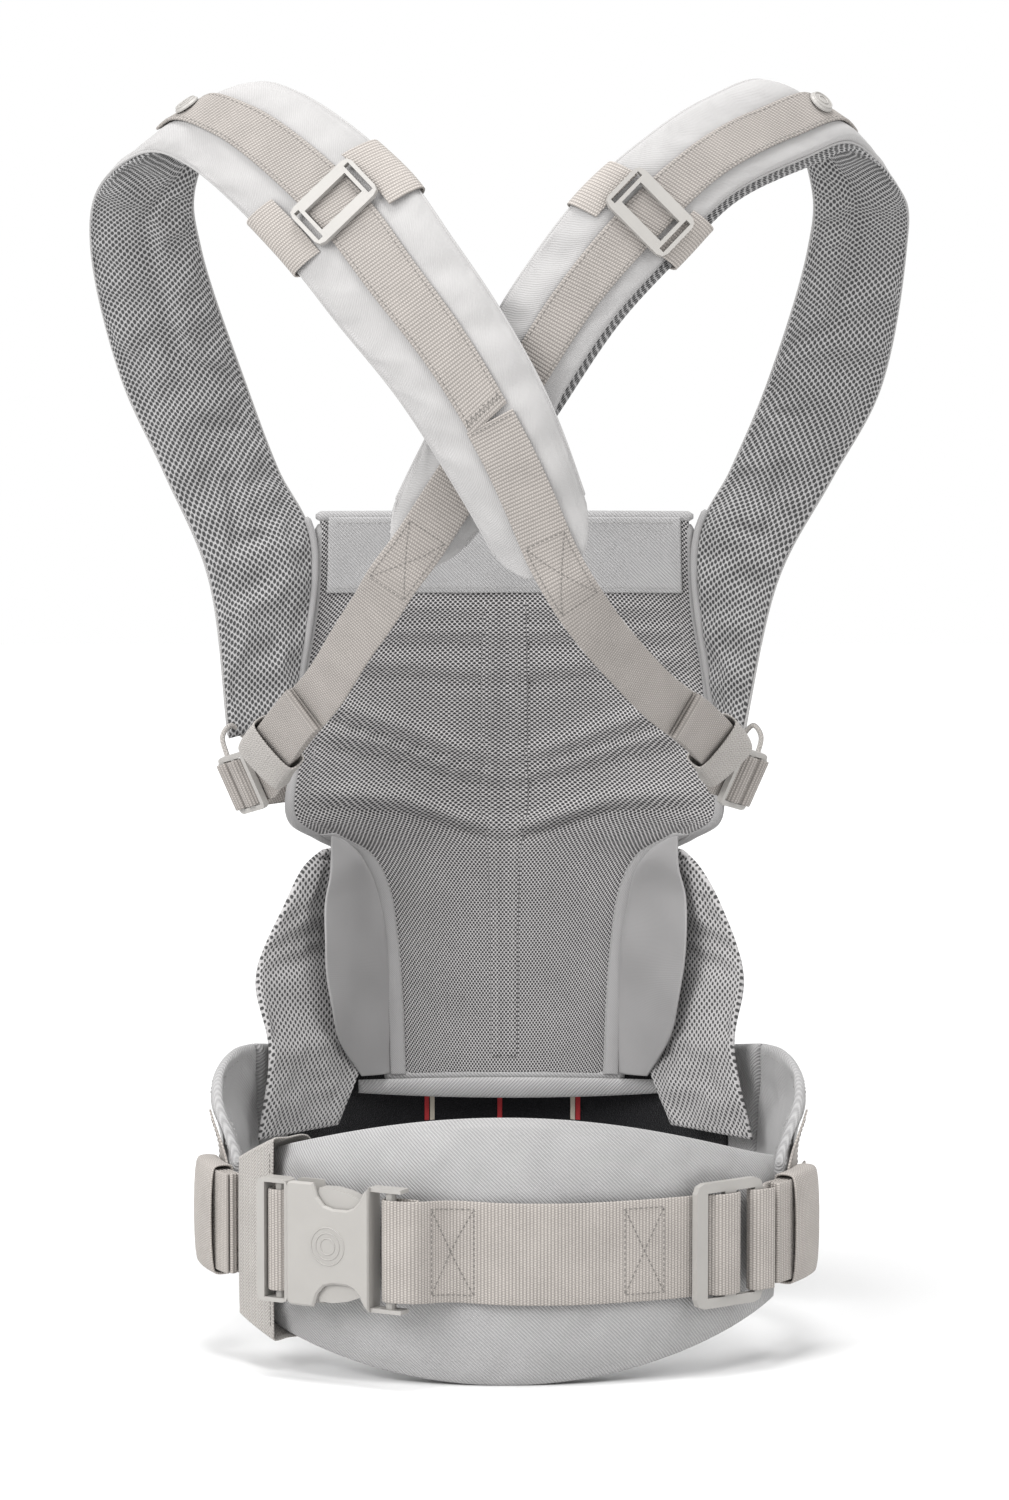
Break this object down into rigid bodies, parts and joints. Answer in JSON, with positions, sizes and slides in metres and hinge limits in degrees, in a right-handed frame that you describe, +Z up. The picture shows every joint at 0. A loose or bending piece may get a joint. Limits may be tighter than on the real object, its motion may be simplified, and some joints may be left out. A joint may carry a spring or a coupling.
{
  "type": "soft baby carrier",
  "caption": "Soft structured baby carrier worn at the waist and shoulders: mesh-lined front panel, crossed padded straps, lumbar pad, webbing and side-release waist buckle.",
  "frame": {"origin": "middle of the waist loop, at the height of the waist webbing", "axes": "+Z up, +Y from the wearer's back to the front panel, +X to the right seen from behind the wearer"},
  "size_m": [0.4123, 0.2869, 0.6312],
  "materials": {
    "fabric": "light grey fine twill weave",
    "mesh": "grey three-dimensional spacer mesh with dark oval holes",
    "satin": "smooth light grey plain weave",
    "foam": "soft padding inside the shoulder straps",
    "webbing": "warm beige-grey ribbed webbing",
    "elastic": "warm grey herringbone elastic",
    "plastic": "matte warm grey acetal",
    "hook": "black hook-and-loop"
  },
  "bodies": {
    "carrier": {"lumbar_pad": "fabric", "lumbar_lining": "mesh", "belt_front": "fabric", "belt_hook_band": "hook", "belt_wing_left": "fabric", "wing_tip_left": "webbing", "belt_wing_right": "fabric", "wing_tip_right": "webbing", "waist_buckle_female": "plastic", "lumbar_webbing": "webbing", "waist_webbing_left": "webbing", "waist_webbing_right": "webbing", "waist_tail_left": "webbing", "waist_keeper_left": "elastic", "waist_tail_right": "webbing", "waist_keeper_right": "elastic", "lumbar_band": "elastic", "panel_liner": "mesh", "panel_shell": "fabric", "panel_centre_tape": "mesh", "neck_band": "satin", "seat_hem": "fabric", "thigh_pad_left": "mesh", "gusset_left": "satin", "thigh_pad_right": "mesh", "gusset_right": "satin", "strap_cover_left": "fabric", "strap_foam_left": "foam", "strap_liner_left": "mesh", "back_webbing_left": "webbing", "stud_left": "plastic", "cross_webbing_left": "webbing", "side_tail_left": "webbing", "side_keeper_left": "elastic", "side_webbing_left": "webbing", "side_cord_left": "elastic", "strap_cover_right": "fabric", "strap_foam_right": "foam", "strap_liner_right": "mesh", "back_webbing_right": "webbing", "stud_right": "plastic", "cross_webbing_right": "webbing", "side_tail_right": "webbing", "side_keeper_right": "elastic", "side_webbing_right": "webbing", "side_cord_right": "elastic"},
    "waist_male": {"waist_buckle_male": "plastic"},
    "prong_upper": {"waist_prong_upper": "plastic"},
    "prong_lower": {"waist_prong_lower": "plastic"},
    "triglide": {"triglide": "plastic"},
    "slider_left": {"slider_left": "plastic", "slider_band_arm_left": "elastic", "slider_band_neck_left": "elastic"},
    "slider_right": {"slider_right": "plastic", "slider_band_arm_right": "elastic", "slider_band_neck_right": "elastic"},
    "adjuster_left": {"side_adjuster_left": "plastic"},
    "adjuster_right": {"side_adjuster_right": "plastic"},
    "head_support": {"head_flap": "fabric"}
  },
  "joints": [
    {"name": "waist_buckle_release", "type": "slide", "parent": "carrier", "child": "waist_male", "axis": [-0.8746, 0.4848, 0], "range_m": [0, 0.042], "deforming": ["waist_webbing_left"]},
    {"name": "prong_upper_press", "type": "hinge", "parent": "waist_male", "child": "prong_upper", "pos_m": [-0.09662, -0.10729, 0.022], "axis": [0.4848, 0.8746, 0], "range_deg": [0, 8], "stiffness_Nm_per_rad": 0.4},
    {"name": "prong_lower_press", "type": "hinge", "parent": "waist_male", "child": "prong_lower", "pos_m": [-0.09662, -0.10729, -0.016], "axis": [-0.4848, -0.8746, 0], "range_deg": [0, 8], "stiffness_Nm_per_rad": 0.4},
    {"name": "triglide_slide", "type": "slide", "parent": "carrier", "child": "triglide", "axis": [0.788, 0.6157, 0], "range_m": [-0.005, 0.005], "deforming": ["lumbar_webbing", "waist_webbing_right"]},
    {"name": "slider_left_slide", "type": "slide", "parent": "carrier", "child": "slider_left", "axis": [0.6113, -0.4852, -0.6252], "range_m": [-0.006, 0.006]},
    {"name": "slider_right_slide", "type": "slide", "parent": "carrier", "child": "slider_right", "axis": [-0.6623, -0.3256, -0.6748], "range_m": [-0.006, 0.006]},
    {"name": "adjuster_left_tilt", "type": "hinge", "parent": "carrier", "child": "adjuster_left", "pos_m": [-0.13767, 0.0468, 0.20896], "axis": [0.4009, 0.0008, -0.9161], "range_deg": [0, 25], "deforming": ["cross_webbing_right", "side_webbing_left"]},
    {"name": "adjuster_right_tilt", "type": "hinge", "parent": "carrier", "child": "adjuster_right", "pos_m": [0.12571, 0.0468, 0.21096], "axis": [0.4009, -0.0008, 0.9161], "range_deg": [0, 25], "deforming": ["cross_webbing_left", "side_webbing_right"]},
    {"name": "head_support_fold", "type": "hinge", "parent": "carrier", "child": "head_support", "pos_m": [0, 0.1208, 0.344], "axis": [1, 0, 0], "range_deg": [0, 165]}
  ]
}
